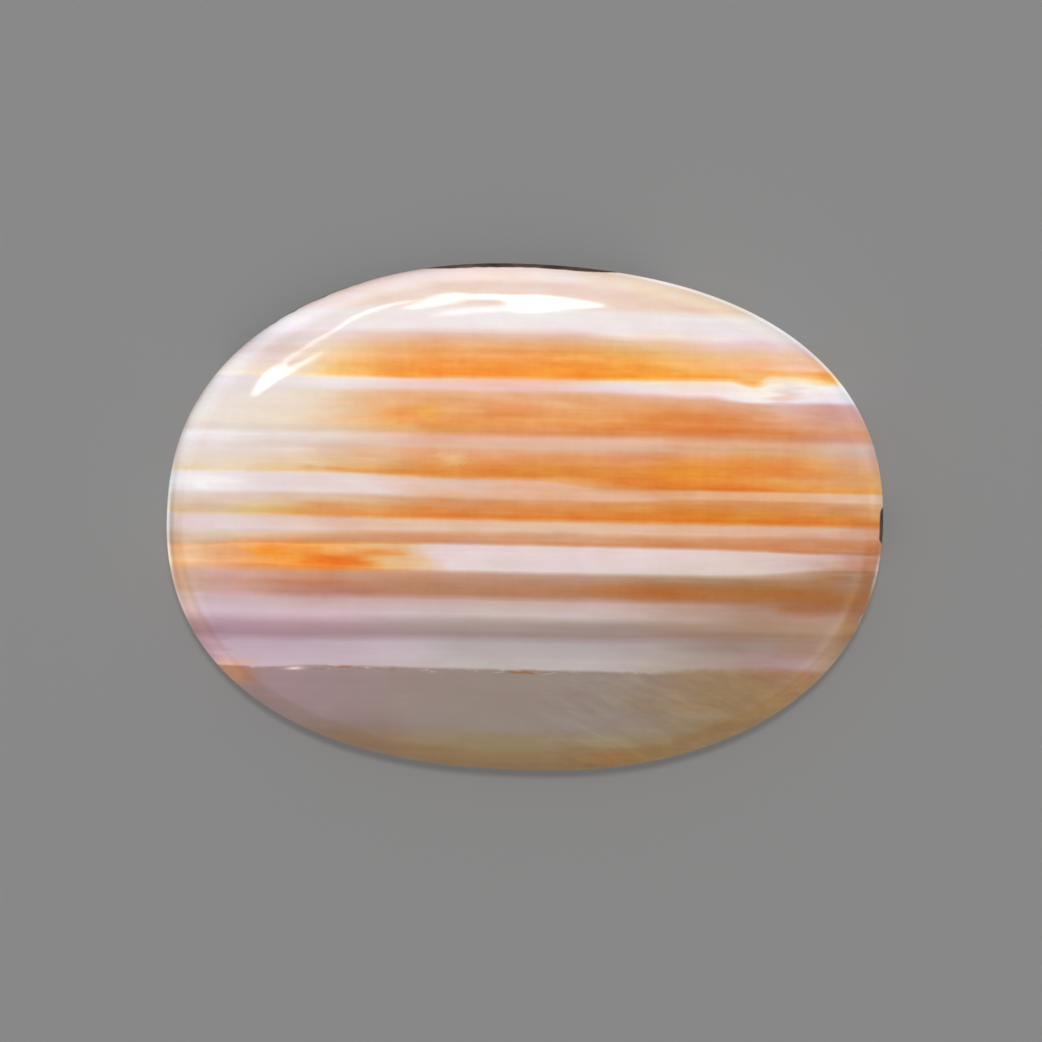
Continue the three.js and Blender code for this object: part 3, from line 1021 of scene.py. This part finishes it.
GLINTS = (
    Glint(11, (
        (252, 397, 0.5), (255, 391.5, 5), (261, 385, 11), (267.5, 378.5, 14.5), (274.5, 372, 14),
        (281, 367, 8), (287, 362.5, 3),
    )),
    Glint(12, (
        (277, 367, 3), (288, 357.8, 2.2), (301.7, 349, 1.4), (312, 341.8, 1.4), (330, 332, 1.8),
        (349, 318.5, 2.6), (367, 310, 2.2), (387, 303.6, 1.8), (399, 301.5, 1.5), (418, 298, 0.8),
    )),
    Glint(13, (
        (278, 375, 9), (284, 372, 7), (290.6, 369.7, 5), (301.7, 363.8, 3.2), (312, 358.3, 2.2),
        (323, 352.6, 0.5),
    )),
    Glint(9, (
        (404, 306.5, 2), (412, 306, 5), (421, 304, 7.5), (434, 300, 11), (444, 298, 12),
        (455, 296.3, 12), (462, 296, 8), (470, 296, 4),
    )),
    Glint(14, (
        (462, 296, 3), (472, 295.8, 4), (490, 296, 4), (503, 296.5, 4.5), (511, 299, 9), (516, 303, 17),
        (524, 303.1, 18), (537, 303, 17.5), (552, 302.8, 14), (568, 303.3, 10.5), (583, 303.8, 7.5),
        (594, 304.2, 4), (606, 305, 1),
    )),
    Glint(5, (
        (431, 316.5, 1), (440, 314.3, 2.5), (450, 312.8, 4), (460, 311.5, 5), (475, 310.3, 6),
        (490, 309, 5.5), (506, 307.5, 6.5), (516, 306, 8.5),
    )),
    Glint(2.5, ((231.5, 420, 1), (232, 430, 2), (232.5, 441, 1.5))),
    Glint(2.5, ((222.5, 487, 1), (223, 496, 1.5), (223.5, 505, 1))),
)
GLINT_FADE = 2.5  # over how many pixels a glint's edge fades
GLINT_CELLS = 8  # from knot to knot
PANE_AWAY = 320
PANE_COLOUR = (1, 0.98, 0.96, 1)


def make_pane(camera, glint):
    """A bright pane that makes the glint which the photograph shows on the dome: each pixel of the glint is
    carried along the mirrored line of sight to the pane. The light fades at the pane's edges."""
    knots = np.array(glint.knots, dtype=float)
    run = np.linspace(0, len(knots) - 1, GLINT_CELLS * (len(knots) - 1) + 1)
    x, y, width = (np.interp(run, np.arange(len(knots)), column) for column in knots.T)
    along = np.stack((np.gradient(x), np.gradient(y)), axis=-1)
    along /= np.linalg.norm(along, axis=-1, keepdims=True)
    side = np.stack((-along[:, 1], along[:, 0]), axis=-1)
    outer = (width + GLINT_FADE) / 2
    inner = np.maximum(width - GLINT_FADE, 0) / 2
    across = np.stack((-outer, -width / 2, -inner, 0 * inner, inner, width / 2, outer), axis=-1)
    glow = np.tile((0, 0.5, 1, 1, 1, 0.5, 0), (len(across), 1))
    glow[[0, -1]] = 0
    pixels = np.stack((x, y), axis=-1)[:, None] + across[..., None] * side[:, None]
    point, bounce = mirrored(camera, pixels)
    places = point + PANE_AWAY * bounce
    faces = quads(np.arange(places.size // 3).reshape(places.shape[:2]))
    pane = mesh_from("pane", places.reshape(-1, 3), faces.tolist())
    keep(pane, "glow", glow.ravel())
    nodes = Nodes("pane_light")
    light = nodes.add("ShaderNodeEmission", PANE_COLOUR, nodes.kept("glow") * glint.bright)
    material = nodes.surface(light)
    material.cycles.emission_sampling = "NONE"  # only a reflection finds it
    pane.data.materials.append(material)
    pane.visible_camera = False
    pane.visible_diffuse = False
    pane.visible_shadow = False


FLOOR_HALF = 600
FLOOR_DROP = 0.01
FLOOR_COLOUR = (0.26, 0.26, 0.26, 1)


def make_floor():
    """A pale floor, large enough for every view."""
    corners = np.array([(x, y, -FLOOR_DROP) for x, y in ((-1, -1), (1, -1), (1, 1), (-1, 1))])
    corners[:, :2] *= FLOOR_HALF
    floor = mesh_from("floor", corners, [(0, 1, 2, 3)])
    nodes = Nodes("pale_floor")
    shader = nodes.add("ShaderNodeBsdfPrincipled")
    shader.inputs["Base Color"].default_value = FLOOR_COLOUR
    shader.inputs["Roughness"].default_value = 0.8
    shader.inputs["Specular IOR Level"].default_value = 0.2
    floor.data.materials.append(nodes.surface(shader))
    return floor


class SoftBox(NamedTuple):
    """A square light: where it stands, its size, its power in watts and what it lights: the stone, the floor
    or all. The stone casts no shadow in the light that is for the floor."""

    place: tuple
    size: float
    watts: float
    lit: str


SOFT_BOXES = (
    SoftBox((0, 110, 520), 70, 0.8, "all"),
    SoftBox((-70, 246, 463), 150, 0.585, "stone"),
    SoftBox((0, 0, 530), 300, 1.18, "floor"),
    *(SoftBox((x, y, 200), 450, 0.885, "stone") for x, y in ((0, -450), (-450, 0), (450, 0))),
)
AIR_COLOUR = (1, 0.99, 0.985, 1)
AIR_STRENGTH = 0.29


def make_light(stone, floor):
    """Even light from all round, a key above the far side and low fills at the other three. The boxes don't
    show in the stone's polish."""
    world = bpy.data.worlds.new("studio")
    bpy.context.scene.world = world
    world.use_nodes = True
    background = world.node_tree.nodes["Background"]
    background.inputs["Color"].default_value = AIR_COLOUR
    background.inputs["Strength"].default_value = AIR_STRENGTH
    lit = {}
    for name, piece in (("stone", stone), ("floor", floor)):
        lit[name] = bpy.data.collections.new(name + "_alone")
        lit[name].objects.link(piece)
    for soft_box in SOFT_BOXES:
        data = bpy.data.lights.new("soft_box", "AREA")
        data.size = soft_box.size * MM
        data.energy = soft_box.watts
        box = bpy.data.objects.new("soft_box", data)
        box.location = Vector(soft_box.place) * MM
        box.rotation_euler = box.location.to_track_quat("Z", "Y").to_euler()
        box.visible_glossy = False
        box.visible_camera = False
        if soft_box.lit != "all":
            box.light_linking.receiver_collection = lit[soft_box.lit]
        if soft_box.lit == "floor":
            box.light_linking.blocker_collection = lit["floor"]
        bpy.context.collection.objects.link(box)


def set_view():
    """Plain colours, as measured."""
    scene = bpy.context.scene
    scene.view_settings.view_transform = "Standard"
    scene.view_settings.look = "None"


camera = make_camera()
floor = make_floor()
set_view()

stone = make_stone()
stone.data.materials.append(Agate().material())
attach(stone, "root")
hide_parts(STONE)
make_light(stone, floor)
for glint in GLINTS:
    make_pane(camera, glint)
